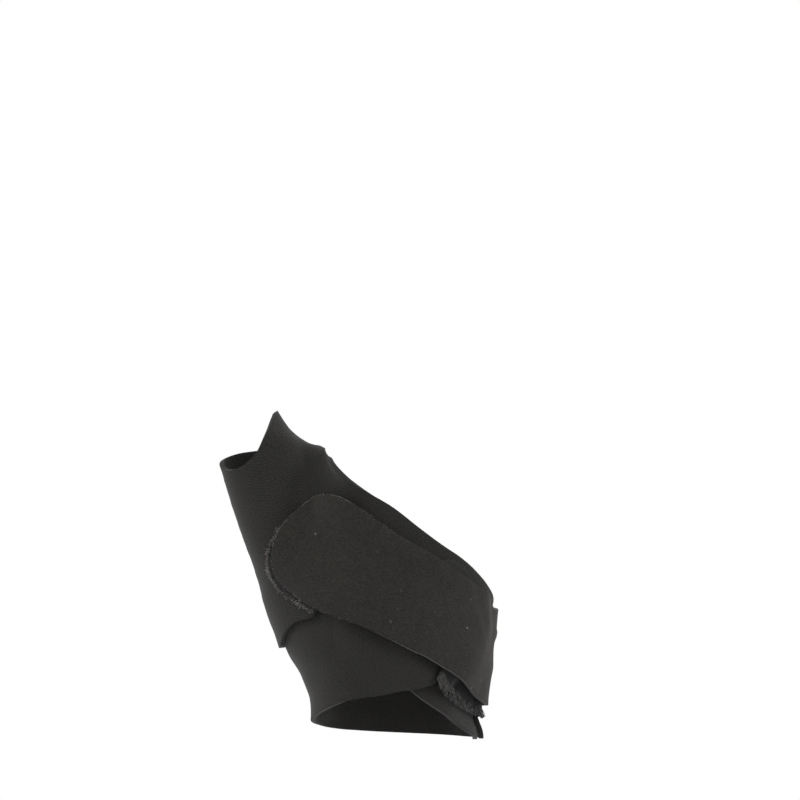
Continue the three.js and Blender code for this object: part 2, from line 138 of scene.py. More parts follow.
# Edges of the sleeve: number of cells, then rows of (what it lies on, turn or way across, rise or lean).
TOP_EDGES = [
    (18, [
        ("wrist", 112, 0.341), ("wrist", 91.5, 0.395), ("wrist", 55.7, 0.483), ("wrist", 23, 0.54),
        ("wrist", -1.7, 0.602), ("wrist", -18.7, 0.667), ("wrist", -30.4, 0.718), ("wrist", -38.8, 0.764),
        ("web", 0.75, 80), ("web", 0.63, 60), ("web", 0.5, 9),
    ]),
    (3, [("web", 0.5, 9), ("web", 0.31, -8), ("thumb", 86, 0.955)]),
    (22, [
        ("thumb", 86, 0.955), ("thumb", 62, 0.95), ("thumb", 41.3, 0.934), ("thumb", 16.4, 0.9),
        ("thumb", -7, 0.858), ("thumb", -29.3, 0.839), ("thumb", -44.4, 0.838), ("thumb", -60, 0.843),
        ("thumb", -80, 0.856), ("thumb", -100, 0.873), ("thumb", -120, 0.878), ("thumb", -152, 0.873),
        ("thumb", -185, 0.851), ("thumb", -212, 0.832), ("thumb", -233.3, 0.858), ("thumb", -256, 0.905),
        ("thumb", -274, 0.955),
    ]),
    (3, [("thumb", 86, 0.955), ("web", 0.31, -8), ("web", 0.5, 9)]),
    (18, [
        ("web", 0.5, 9), ("web", 0.68, -78), ("web", 0.95, -100), ("wrist", -122, 0.655),
        ("wrist", -142.2, 0.608), ("wrist", -161.4, 0.555), ("wrist", -181.8, 0.5),
        ("wrist", -207.8, 0.419),
    ]),
]
BOTTOM_EDGES = [
    (25, [
        ("wrist", 112, -0.138), ("wrist", 92.5, -0.122), ("wrist", 74.1, -0.096), ("wrist", 49.2, -0.049),
        ("wrist", 12.2, 0.039), ("wrist", -15.9, 0.207), ("wrist", -25.9, 0.292), ("wrist", -38.9, 0.421),
    ]),
    (8, [
        ("wrist", -38.9, 0.421), ("wrist", -43.5, 0.336), ("wrist", -46.3, 0.295), ("wrist", -52.4, 0.285),
        ("wrist", -57.1, 0.274), ("wrist", -62.2, 0.248), ("wrist", -71.1, 0.2),
    ]),
    (31, [
        ("wrist", -71.1, 0.2), ("wrist", -100.6, 0.19), ("wrist", -120, 0.149), ("wrist", -149.4, 0.099),
        ("wrist", -179.6, 0.026), ("wrist", -209.7, -0.037),
    ]),
]
SLEEVE_ROWS = 18
FINER = 3

# Middle lines of the straps: turn in degrees and rise.
WRIST_STRAP_PATH = np.array([
    (-256, 0.04), (-240, 0.044), (-210, 0.052), (-180, 0.06), (-150, 0.068), (-120, 0.078), (-90, 0.09),
    (-64, 0.109), (-44, 0.13), (-27.6, 0.167), (-10.8, 0.22), (11.7, 0.263), (39, 0.307), (69, 0.346),
])
CLOSING_STRAP_PATH = np.array([
    (150, 0.165), (130, 0.165), (107, 0.172), (82, 0.193), (32.5, 0.269), (-4.8, 0.354),
    (-28.5, 0.441), (-45.7, 0.516), (-54.2, 0.553), (-60, 0.591),
])

# Cut of each strap and tape, in millimetres: distance along its middle line, then its two sides.
CLOSING_CUT = np.array([
    (-5, -14.3, 14.3), (3, -14.2, 14.4), (12, -12.8, 14.9), (23, -11, 14.8), (28, -12.3, 14.2),
    (33, -13.2, 13), (39, -13.2, 11.9), (45, -13.2, 11.3), (55, -13.5, 10.9), (63, -13.7, 11),
    (71, -13.8, 12), (78, -14.5, 12.7), (83, -15.3, 12.8), (86.5, -15.6, 12.7), (89, -14.7, 12.1),
    (91.5, -12.6, 10.9), (93.5, -10.1, 9.4), (95.2, -7.6, 7.3), (96.4, -5.2, 5.1), (97.1, -2.9, 3.2),
    (97.4, -0.9, 1.3),
])
WRIST_CUT = np.array([
    (0, -13.75, 13.75), (60, -13.75, 13.75), (75, -13, 13.75), (82, -12.2, 13.75), (88, -11.5, 13.75),
    (93, -12, 13.75), (98, -13.6, 13.75), (103, -14.9, 13.8), (108, -15.8, 14), (114, -15.9, 14.2),
    (119, -15, 14.5), (124, -13.6, 14.6), (127, -12.4, 14.1), (129, -11.3, 13.2), (131, -9.7, 11.7),
    (132.6, -7.8, 9.4), (133.7, -5.6, 6.6), (134.3, -3.2, 3.6), (134.5, -1, 1.2),
])
CLOSING_TAB_CUT = np.array([
    (77.2, -8.4, 14.1), (80, -8.4, 14.5), (84, -8.4, 14.9), (87.5, -8.3, 15), (89.5, -8, 14.6),
    (91.5, -7.3, 13.8), (93.9, -5.9, 12.3), (95.6, -4.4, 10.6), (96.8, -2.3, 8.5), (97.6, 0.5, 6),
])
WRIST_TAB_CUT = np.array([
    (114, -10, 10), (126, -10, 10), (128.5, -9.3, 9.3), (130.2, -7.8, 7.8), (131, -5.5, 5.5),
])
PILE_CUT = np.array([
    (13.4, 7.8, 18.1), (28, 7.8, 18), (34, 7.8, 17.4), (38, 8.2, 16.6), (41, 9.3, 15.6), (43.2, 11, 14.2),
])


def unit(ways):
    return ways / np.maximum(np.linalg.norm(ways, axis=-1, keepdims=True), 1e-12)


def dot(first, second):
    return (first * second).sum(-1, keepdims=True)


def ramp(value, low, high):
    """Rises smoothly from 0 at low to 1 at high."""
    share = np.clip((value - low) / (high - low), 0, 1)
    return share ** 2 * (3 - 2 * share)


def read_table(table, value):
    """Smooth reading of a table's columns at values of its first column."""
    keys, columns = table[:, 0], table[:, 1:]
    order = np.arange(len(keys))
    before, after = np.maximum(order - 1, 0), np.minimum(order + 1, len(keys) - 1)
    slopes = (columns[after] - columns[before]) / (keys[after] - keys[before])[:, None]
    low = np.searchsorted(keys[1:-1], value)
    span = (keys[low + 1] - keys[low])[..., None]
    share = np.clip((value - keys[low])[..., None] / span, 0, 1)
    bend = share ** 2 * (3 - 2 * share)
    leave = share * (1 - share) ** 2 * span * slopes[low]
    arrive = share ** 2 * (share - 1) * span * slopes[low + 1]
    return np.moveaxis(columns[low] + (columns[low + 1] - columns[low]) * bend + leave + arrive, -1, 0)


def thumb_section(rise):
    """Middle and radius of the thumb at a rise."""
    rise = np.asarray(rise, float)
    reach, front, girth = read_table(THUMB_SECTIONS, rise)
    centre = np.stack([-reach * THUMB_REACH, -front * THUMB_REACH, rise * SLEEVE_RISE], axis=-1)
    return centre, girth * THUMB_WIDTH / 2


thumb_line, thumb_radius = thumb_section(
    np.linspace(THUMB_SECTIONS[0, 0], THUMB_SECTIONS[-1, 0], THUMB_PIECES + 1)
)


def above_bars(points, line, radius):
    """Height above a chain of tapered bars."""
    nearest = np.full(points.shape[:-1], np.inf)
    for start, end, first, last in zip(line[:-1], line[1:], radius[:-1], radius[1:]):
        along = end - start
        offset = points - start
        share = np.clip(offset @ along / (along @ along), 0, 1)
        away = np.linalg.norm(offset - share[..., None] * along, axis=-1)
        nearest = np.minimum(nearest, away - first - (last - first) * share)
    return nearest


def above_wrist(points):
    """Height above the wrist and the palm, whose sections are ovals."""
    across, breadth, depth = read_table(WRIST_SECTIONS, points[..., 2] / SLEEVE_RISE)
    right = points[..., 0] - across * WRIST_BREADTH
    broad = right * math.cos(WRIST_TURN) + points[..., 1] * math.sin(WRIST_TURN)
    deep = right * math.sin(WRIST_TURN) - points[..., 1] * math.cos(WRIST_TURN)
    half_breadth, half_depth = breadth * WRIST_BREADTH / 2, depth * WRIST_DEPTH / 2
    reach = np.hypot(broad / half_breadth, deep / half_depth) + 1e-12
    steepness = np.hypot(broad / half_breadth ** 2, deep / half_depth ** 2) + 1e-12
    return (reach - 1) * reach / steepness


def melt(first, second, blend):
    """Joins two shapes with a rounded hollow between them."""
    share = np.clip(0.5 + (second - first) / (2 * blend), 0, 1)
    return second + (first - second) * share - blend * share * (1 - share)


def height_above(points):
    web = above_bars(points, WEB_ENDS, (WEB_RADIUS, WEB_RADIUS))
    thumb = above_bars(points, thumb_line, thumb_radius)
    return melt(melt(above_wrist(points), thumb, THUMB_BLEND), web, WEB_BLEND)


def outward_at(points):
    """Straight out from the worn form."""
    probe = 0.05
    slopes = [height_above(points + step) - height_above(points - step) for step in np.eye(3) * probe]
    return unit(np.stack(slopes, axis=-1))


def settle(points, rounds=2):
    """Brings points onto the worn form."""
    for _ in range(rounds):
        points = points - outward_at(points) * height_above(points)[..., None]
    return points


def go_out(start, way):
    """The place on the worn form reached by going straight out from each start."""
    strides, halvings = 45, 14
    stride = WRIST_DEPTH / 20
    marks = stride * np.arange(1, strides + 1)[:, None]
    outside = height_above(start + way * marks[..., None]) >= 0
    far = marks[outside.argmax(axis=0), 0]
    near = far - stride
    for _ in range(halvings):
        middle = (near + far) / 2
        is_in = height_above(start + way * middle[:, None]) < 0
        near, far = np.where(is_in, middle, near), np.where(is_in, far, middle)
    return start + way * far[:, None]


def on_wrist(turn, rise):
    turn, rise = np.radians(np.atleast_1d(turn)), np.atleast_1d(rise).astype(float)
    across = read_table(WRIST_SECTIONS, rise)[0]
    start = np.stack([across * WRIST_BREADTH, 0 * rise, rise * SLEEVE_RISE], axis=-1)
    return go_out(start, np.stack([np.sin(turn), -np.cos(turn), 0 * turn], axis=-1))


def on_thumb(turn, along):
    turn = math.radians(turn)
    line = unit(thumb_section(along + 0.01)[0] - thumb_section(along - 0.01)[0])
    front = unit(np.array([0, -1, 0]) + line * line[1])
    way = front * math.cos(turn) + np.cross(line, front) * math.sin(turn)
    return go_out(thumb_section(along)[0][None], way[None])


def on_web(across, lean):
    lean = math.radians(lean)
    start = WEB_ENDS[0] + (WEB_ENDS[1] - WEB_ENDS[0]) * across
    return go_out(start[None], np.array([[0, -math.sin(lean), math.cos(lean)]]))


PLACES = {"wrist": on_wrist, "thumb": on_thumb, "web": on_web}


def smooth_curve(points, cells):
    """A smooth line through points, tightest where they are close together."""
    points = np.vstack([2 * points[0] - points[1], points, 2 * points[-1] - points[-2]])
    place = np.linspace(0, len(points) - 3, cells + 1)
    low = np.minimum(place.astype(int), len(points) - 4)
    share = (place - low)[:, None]
    before, start, end, after = (points[low + step] for step in range(4))
    pairs = ((before, start), (start, end), (end, after))
    first, gap, last = (np.linalg.norm(far - near, axis=1, keepdims=True) ** 0.5 for near, far in pairs)
    leave = ((start - before) / first - (end - before) / (first + gap) + (end - start) / gap) * gap
    arrive = ((end - start) / gap - (after - start) / (gap + last) + (after - end) / last) * gap
    return (
        start + leave * share + (3 * (end - start) - 2 * leave - arrive) * share ** 2
        + (2 * (start - end) + leave + arrive) * share ** 3
    )


def marks_of(points):
    """Distance of each point from the start of its line."""
    steps = np.linalg.norm(np.diff(points, axis=0), axis=1)
    return np.concatenate([[0], np.cumsum(steps)])


def point_at(points, distance):
    """Reads a line of points at distances from its start, and past its ends."""
    marks = marks_of(points)
    low = np.searchsorted(marks[1:-1], distance)
    share = (distance - marks[low]) / (marks[low + 1] - marks[low])
    return points[low] + (points[low + 1] - points[low]) * share[:, None]


def space_evenly(lines, cells):
    """Each line read at even distances, and set back on the worn form between its ends."""
    read = [point_at(line, marks_of(line)[-1] * np.linspace(0, 1, cells + 1)) for line in lines]
    spaced = np.array(read)
    spaced[:, 1:-1] = settle(spaced[:, 1:-1])
    return spaced


def edge_lines(edges, finer):
    """One evenly spaced line round an edge of the sleeve, from its rows."""
    joined = []
    for cells, rows in edges:
        places = np.vstack([PLACES[kind](first, second) for kind, first, second in rows])
        guide = settle(smooth_curve(places, cells * 4), 4)
        line = space_evenly([guide], cells * finer)[0]
        joined.append(line[1:] if joined else line)
    return np.vstack(joined)


def refine(grid, times, axis):
    """More rows of a grid, evenly between those that are there."""
    count = grid.shape[axis]
    place = np.linspace(0, count - 1, (count - 1) * times + 1)
    low = np.minimum(place.astype(int), count - 2)
    share = (place - low).reshape([-1 if step == axis else 1 for step in range(3)])
    return np.take(grid, low, axis) * (1 - share) + np.take(grid, low + 1, axis) * share


def sleeve_grid():
    """Columns of the sleeve's cloth from its top edge to its bottom edge."""
    top, bottom = edge_lines(TOP_EDGES, 1), edge_lines(BOTTOM_EDGES, 1)
    share = np.linspace(0, 1, SLEEVE_ROWS * 2 + 1)[None, :, None]
    grid = space_evenly(settle(top[:, None] * (1 - share) + bottom[:, None] * share, 4), SLEEVE_ROWS)
    pull = np.sin(np.pi * np.arange(SLEEVE_ROWS + 1) / SLEEVE_ROWS)[None, :, None] / 2
    for _ in range(ROW_ROUNDS):
        middle = (grid[:-2] + grid[2:]) / 2
        grid[1:-1] = space_evenly(grid[1:-1] + (middle - grid[1:-1]) * pull, SLEEVE_ROWS)
    fine = settle(refine(refine(grid, FINER, 0), FINER, 1))
    fine[:, 0] = edge_lines(TOP_EDGES, FINER)
    fine[:, -1] = edge_lines(BOTTOM_EDGES, FINER)
    return fine


def strap_line(path):
    turn, rise = smooth_curve(path, LINE_CELLS).T
    return on_wrist(turn, rise)


def walk(foot, way, distance, steps=8):
    """Follows the worn form sideways from each foot for the given distances."""
    place = np.broadcast_to(foot[:, None], distance.shape + (3,))
    heading = np.broadcast_to(way[:, None], place.shape)
    stride = (distance / steps)[..., None]
    for _ in range(steps):
        ahead = settle(place + heading * stride)
        heading = (ahead - place) * np.sign(stride)
        outward = outward_at(ahead)
        heading = unit(heading - outward * dot(heading, outward))
        place = ahead
    return place


def strap_grid(line, cut, cells, rounded, round_cells=12):
    """Feet of a strap cut to its own outline, and the same places on the flat cut."""
    long, wide = cells
    start, end = cut[0, 0], cut[-1, 0]
    turn = np.linspace(0, math.pi / 2, round_cells + 1)
    run = np.linspace(start, end - rounded, long + 1)[:-1]
    distance = np.concatenate([run, end - rounded + rounded * np.sin(turn)])
    sides = [smooth_curve(cut[:, (0, side)], CUT_CELLS) for side in (1, 2)]
    low, high = (np.interp(distance, side[:, 0], side[:, 1]) for side in sides)
    foot = settle(point_at(line, distance))
    along = unit(point_at(line, distance + 1) - point_at(line, distance - 1))
    sideways = unit(np.cross(outward_at(foot), along))
    across = low[:, None] + (high - low)[:, None] * np.linspace(0, 1, wide + 1)
    flat = np.stack([np.broadcast_to(distance[:, None], across.shape), across], axis=-1)
    return walk(foot, sideways, across), flat


def chart_of(points):
    """Turn and rise round the wrist's upright line."""
    across = read_table(WRIST_SECTIONS, points[..., 2] / SLEEVE_RISE)[0]
    turn = np.arctan2(points[..., 0] - across * WRIST_BREADTH, -points[..., 1])
    return turn, points[..., 2] / SLEEVE_RISE


def outline_of_grid(grid):
    return np.vstack([grid[:, 0], grid[-1, 1:], grid[::-1, -1][1:], grid[0, 1:-1][::-1]])


def cover_by(outline, points, margin=COVER_MARGIN, slope=COVER_SLOPE):
    """1 over a piece, 0 well clear of it."""
    turn, rise = chart_of(points)
    edge_turn, edge_rise = chart_of(outline)
    edge_turn = np.unwrap(edge_turn)
    nearest = np.full(points.shape[:-1], np.inf)
    within = np.zeros((3,) + points.shape[:-1], bool)
    for index in range(len(outline)):
        after = (index + 1) % len(outline)
        start, along = outline[index], outline[after] - outline[index]
        share = np.clip((points - start) @ along / max(along @ along, 1e-12), 0, 1)
        away = np.linalg.norm(points - start - share[..., None] * along, axis=-1)
        nearest = np.minimum(nearest, away)
        crosses = (edge_rise[index] > rise) != (edge_rise[after] > rise)
        run = (edge_turn[after] - edge_turn[index]) / (edge_rise[after] - edge_rise[index] + 1e-15)
        crossing = edge_turn[index] + run * (rise - edge_rise[index])
        for lap in range(3):
            within[lap] ^= crosses & (crossing > turn + (lap - 1) * 2 * math.pi)
    over = within.any(axis=0)
    return np.where(over, 1.0, 1 - ramp(nearest, margin, margin + slope))


def palm_share(points):
    """1 where the sleeve lies over the wrist strap, on the palm side."""
    turn = np.degrees(chart_of(points)[0]) % 360
    return ramp(turn, 116, 136) * (1 - ramp(turn, 315, 328))


def mound(value, middle, spread):
    """A smooth bump, 1 at its middle."""
    return np.exp(-((value - middle) / spread) ** 2)


def ease_web(grid):
    """Evens out the front of the sleeve below the web, where the shapes of the worn form meet."""
    x, y, z = np.moveaxis(grid, -1, 0)
    share = (mound(x, -18.5, 7) * mound(z, 58, 9) * ramp(-y, 4, 8))[1:-1, 1:-1, None]
    for _ in range(WEB_ROUNDS):
        around = (grid[2:, 1:-1] + grid[:-2, 1:-1] + grid[1:-1, 2:] + grid[1:-1, :-2]) / 4
        grid[1:-1, 1:-1] += (around - grid[1:-1, 1:-1]) * share
    return grid


sleeve_feet = ease_web(sleeve_grid())
closing_line = strap_line(CLOSING_STRAP_PATH)
wrist_line = strap_line(WRIST_STRAP_PATH)
closing_feet, closing_flat = strap_grid(closing_line, CLOSING_CUT, (84, 30), 13)
wrist_feet, wrist_flat = strap_grid(wrist_line, WRIST_CUT, (120, 28), 13)
closing_tab_feet, closing_tab_flat = strap_grid(closing_line, CLOSING_TAB_CUT, (12, 28), 9)
wrist_tab_feet, wrist_tab_flat = strap_grid(wrist_line, WRIST_TAB_CUT, (14, 20), 4, 6)
pile_feet, pile_flat = strap_grid(closing_line, PILE_CUT, (34, 12), 3, 6)

opening = FINER * TOP_EDGES[0][0]
opening_end = FINER * sum(cells for cells, rows in TOP_EDGES[:4])
sleeve_outline = np.vstack([
    sleeve_feet[:opening:FINER, 0],
    sleeve_feet[opening_end::FINER, 0],
    sleeve_feet[-1, FINER::FINER],
    sleeve_feet[::-1, -1][FINER::FINER],
    sleeve_feet[0, FINER:-1:FINER][::-1],
])
wrist_outline = outline_of_grid(wrist_feet[::2])
wrist_tab_outline = outline_of_grid(wrist_tab_feet)
closing_tab_outline = outline_of_grid(closing_tab_feet)
pile_outline = outline_of_grid(pile_feet)


def layers_below_closing(feet):
    """Height of the sleeve, the wrist strap and its hooks together."""
    strap = cover_by(wrist_outline, feet, STRAP_MARGIN, STEEP_SLOPE)
    sleeve, tab = cover_by(sleeve_outline, feet), cover_by(wrist_tab_outline, feet)
    return CLOTH_STEP * (sleeve + strap) + TAPE_STEP * tab


def web_shape(feet):
    """The sleeve stands up at the web, dips below it on the front, and is drawn in at its tip."""
    x, y, z = np.moveaxis(feet, -1, 0)
    crest = WEB_CREST * mound(x, -22, 2.9) * mound(z, 68, 5)
    dent = WEB_DENT * mound(x, -23.4, 3.4) * mound(z, 64.4, 4.6) * ramp(-y, 5, 8)
    tip = TIP_DRAWN_IN * ramp(z, 68, 74.5) * ramp(x, -37, -31)
    return crest - dent - tip


def wrist_pinch(feet):
    """Below the hem the wrist strap is drawn in on its left side."""
    turn, rise = chart_of(feet)
    turn, z = np.degrees(turn), rise * SLEEVE_RISE
    side = ramp(turn, -135, -95) * (1 - ramp(turn, -58, -25))
    level = ramp(z, -12, 2) * (1 - ramp(z, 6.5, 13))
    return -WRIST_DRAWN_IN * side * level


def pull_taut(lift, along):
    """Carries a strap straight over dips in what it lies on, and softens its bends."""
    apart = np.abs(along[:, None] - along)
    bridged = np.where((apart < BRIDGE_OUT)[..., None], lift, -np.inf).max(axis=1)
    bridged = np.where((apart < BRIDGE_BACK)[..., None], bridged, np.inf).min(axis=1)
    weight = np.exp(-((apart / BEND) ** 2))
    softened = np.tensordot(weight / weight.sum(axis=1, keepdims=True), bridged, 1)
    for _ in range(STRAP_ROUNDS):
        softened[:, 1:-1] = (softened[:, 2:] + softened[:, :-2] + 2 * softened[:, 1:-1]) / 4
    return np.maximum(softened, lift - 0.05)


def closing_shape(flat):
    """The upper edge stands off, the wrist strap's end shows, and the two ends are creased and sewn down."""
    along, across = flat[..., 0], flat[..., 1]
    past = 45.5 - 1.055 * (across + 13) - along
    shows = END_SHOWS * ramp(past, -0.5, 2.5) * (1 - ramp(past, 12, 26)) * (1 - ramp(across, -4, 4))
    lifted = EDGE_LIFT * mound(along, 60, 10) * ramp(-across, 5, 13)
    line = -8.9 + (86.6 - along) * 0.18
    crease = CREASE * mound(across, line, 0.8) * ramp(along, 72, 77) * (1 - ramp(along, 85, 89))
    sewn = SEWN_DOWN * (1 - ramp(along, -1, 7))
    return lifted - shows - crease - sewn


def slack(feet):
    """Drawn in at the right side, and a little uneven: the same for every layer, so that none meet."""
    x, y, z = np.moveaxis(feet, -1, 0)
    turn = np.degrees(chart_of(feet)[0])
    side = ramp(turn, 45, 85) * (1 - ramp(turn, 120, 150))
    drawn_in = SIDE_DRAWN_IN * side * (1 - ramp(z, 4, 25)) * ramp(z, -10, -4)
    return (
        -drawn_in
        + 0.09 * np.sin(0.31 * x + 0.17 * z + 1.1) * np.sin(0.23 * z - 0.12 * y)
        + 0.05 * np.sin(0.62 * z - 0.37 * x + 0.4) * np.sin(0.41 * y + 0.29 * x)
    )


class Wire:
    """One value in a finish. Sums written on wires add the nodes that work them out."""

    def __init__(self, finish, socket):
        self.finish = finish
        self.socket = socket

    def sum(self, operation, *values):
        return self.finish.node("Math", {"operation": operation}, dict(enumerate(values)))

    def __add__(self, other):
        return self.sum("ADD", self, other)

    def __radd__(self, other):
        return self.sum("ADD", other, self)

    def __sub__(self, other):
        return self.sum("SUBTRACT", self, other)

    def __rsub__(self, other):
        return self.sum("SUBTRACT", other, self)

    def __mul__(self, other):
        return self.sum("MULTIPLY", self, other)

    def __rmul__(self, other):
        return self.sum("MULTIPLY", other, self)

    def wave(self):
        return self.sum("SINE", self)

    def power(self, other):
        return self.sum("POWER", self, other)


class Finish:
    """A material of this object, built from nodes."""

    def __init__(self, name, **constants):
        self.material = bpy.data.materials.new(name)
        self.material.use_nodes = True
        self.tree = self.material.node_tree
        self.shader = self.tree.nodes["Principled BSDF"]
        for socket, value in constants.items():
            self.shader.inputs[socket.replace("_", " ")].default_value = value

    def node(self, kind, settings=None, sockets=None, output=0):
        node = self.tree.nodes.new("ShaderNode" + kind)
        for name, value in (settings or {}).items():
            if name == "stops":
                for stop, (place, colour) in zip(node.color_ramp.elements, value):
                    stop.position = place
                    stop.color = colour
            else:
                setattr(node, name, value)
        for name, value in (sockets or {}).items():
            self.feed(node.inputs[name], value)
        return Wire(self, node.outputs[output])

    def feed(self, socket, value):
        if isinstance(value, Wire):
            self.tree.links.new(value.socket, socket)
        else:
            socket.default_value = value

    def noise(self, where, size, detail=2.0, roughness=0.5):
        """Soft speckle with lumps of the given size, in metres."""
        sockets = {"Vector": where, "Scale": 1 / size, "Detail": detail, "Roughness": roughness}
        return self.node("TexNoise", {}, sockets)

    def shade(self, share, dark, light):
        """A colour between two, by a share."""
        stops = [(0.0, (*dark, 1)), (1.0, (*light, 1))]
        return self.node("ValToRGB", {"stops": stops}, {"Fac": share})

    def raise_by(self, height, distance):
        """Relief of the surface, of the given depth in metres."""
        bump = self.node("Bump", {}, {"Height": height, "Distance": distance, "Strength": 1.0})
        self.feed(self.shader.inputs["Normal"], bump)


def flat_place(finish):
    """The place on the flat cut, in metres along and across, and the whole vector."""
    whole = finish.node("UVMap", {"uv_map": "flat_cut"})
    split = {"Vector": whole}
    return whole, finish.node("SeparateXYZ", {}, split, 0), finish.node("SeparateXYZ", {}, split, 1)


def knitted(name, dark, light, pitch, depth, sheen):
    """Fine knit: slanting rows of small loops, a little uneven in tone."""
    finish = Finish(name, Roughness=0.9, Specular_IOR_Level=0.12, Sheen_Weight=sheen, Sheen_Roughness=0.45)
    whole, along, across = flat_place(finish)
    turns = 2 * math.pi / pitch
    speckle = finish.noise(whole, 0.0004, 3.0, 0.75)
    cloud = finish.noise(whole, 0.009, 2.0)
    loops = ((along + across) * (turns / 1.414)).wave() + (along * (turns / 2)).wave() * 0.3
    share = speckle * 3.0 + cloud * 0.3 + loops * 0.12 - 1.15
    finish.feed(finish.shader.inputs["Base Color"], finish.shade(share, dark, light))
    finish.raise_by(loops * 0.35 + speckle * 0.8, depth)
    return finish.material


def ribbed(name, dark, light, pitch, lean, depth, sheen):
    """Fine ribs that slant across the strap."""
    finish = Finish(name, Roughness=0.88, Specular_IOR_Level=0.12, Sheen_Weight=sheen, Sheen_Roughness=0.45)
    whole, along, across = flat_place(finish)
    turns = 2 * math.pi / pitch
    slant = math.radians(lean)
    wander = finish.noise(whole, 0.004, 2.0) * 0.8
    ribs = (across * (turns * math.cos(slant)) - along * (turns * math.sin(slant)) + wander).wave()
    speckle = finish.noise(whole, 0.0005, 3.0, 0.7)
    cloud = finish.noise(whole, 0.010, 2.0)
    share = ribs * 0.12 + speckle * 1.6 + cloud * 0.3 - 0.45
    finish.feed(finish.shader.inputs["Base Color"], finish.shade(share, dark, light))
    finish.raise_by(ribs * 0.5 + speckle * 0.5, depth)
    return finish.material


def brushed(name, dark, light, depth, sheen):
    """Brushed cloth: short soft fibres over faint lines, with a few specks of lint."""
    finish = Finish(name, Roughness=0.95, Specular_IOR_Level=0.1, Sheen_Weight=sheen, Sheen_Roughness=0.5)
    whole, _, across = flat_place(finish)
    combing = {"Vector": whole, "Scale": (0.45, 1.0, 1.0), "Rotation": (0, 0, 0.5)}
    combed = finish.node("Mapping", {}, combing)
    fibres = finish.noise(combed, 0.0004, 4.0, 0.7)
    tufts = finish.noise(whole, 0.0025, 3.0, 0.6)
    cloud = finish.noise(whole, 0.014, 2.0)
    lines = (across * (2 * math.pi / 0.0007) + tufts * 2.0).wave()
    share = fibres * 2.0 + tufts * 0.5 + cloud * 0.3 + lines * 0.045 - 0.9
    lint = finish.noise(whole, 0.002, 0.0).power(36) * 90
    colour = {0: lint, 6: finish.shade(share, dark, light), 7: (0.08, 0.078, 0.075, 1)}
    finish.feed(finish.shader.inputs["Base Color"], finish.node("Mix", {"data_type": "RGBA"}, colour, 2))
    finish.raise_by(fibres * 0.8 + tufts * 0.5, depth)
    return finish.material


def fibrous(name, dark, light, depth, sheen, size=0.0003, contrast=1.0):
    """Cut edges, tape and loose fibres: speckled at the scale of single threads."""
    finish = Finish(name, Roughness=0.85, Specular_IOR_Level=0.2, Sheen_Weight=sheen, Sheen_Roughness=0.4)
    where = finish.node("TexCoord", {}, {}, "Object")
    speckle = finish.noise(where, size, 3.0, 0.6)
    cloud = finish.noise(where, size * 12, 2.0)
    share = (speckle * 0.8 + cloud * 0.5 - 0.65) * contrast + 0.5
    finish.feed(finish.shader.inputs["Base Color"], finish.shade(share, dark, light))
    finish.raise_by(speckle, depth)
    return finish.material


sleeve_knit = knitted(
    "sleeve_knit", (0.007, 0.0068, 0.0063), (0.0225, 0.0217, 0.0198), pitch=0.0006, depth=0.00007, sheen=0.1,
)
rib_knit = ribbed(
    "ribbed_knit", (0.0075, 0.0073, 0.0068), (0.0235, 0.0228, 0.021),
    pitch=0.00062, lean=42, depth=0.00005, sheen=0.1,
)
brushed_cloth = brushed(
    "brushed_cloth", (0.0078, 0.0073, 0.0066), (0.0262, 0.0244, 0.0218), depth=0.00008, sheen=0.07,
)
dark_edge = fibrous("dark_edge", (0.008, 0.008, 0.0078), (0.022, 0.0216, 0.021), 0.00006, 0.06)
# The closing strap's cut edges: lighter grey of the cut fibres, and partly a painted highlight for the light
# its rim catches.
cut_edge_and_highlight = fibrous("cut_edge_and_highlight", (0.016, 0.0156, 0.015), (0.055, 0.053, 0.05), 0.00008, 0.1)
hook_tape = fibrous("hook_tape", (0.004, 0.004, 0.0039), (0.018, 0.0176, 0.017), 0.0001, 0.06)
fray = fibrous(
    "fray", (0.02, 0.0194, 0.0185), (0.2, 0.194, 0.184), 0.0001, 0.12, size=0.0006, contrast=2.2,
)
pile_tape = fibrous("pile_tape", (0.004, 0.004, 0.0039), (0.012, 0.0118, 0.0115), 0.0001, 0.05)
pile_tuft = fibrous(
    "pile_tuft", (0.004, 0.004, 0.0039), (0.11, 0.108, 0.104), 0.0001, 0.06, size=0.0007, contrast=2.6,
)


def finish_sheet(piece, name, node):
    """Names a sheet, puts it in its solid's place and lets it ride with the body."""
    piece.name = name
    piece.data.name = name
    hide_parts(node)
    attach(piece, "root")
    piece.select_set(False)


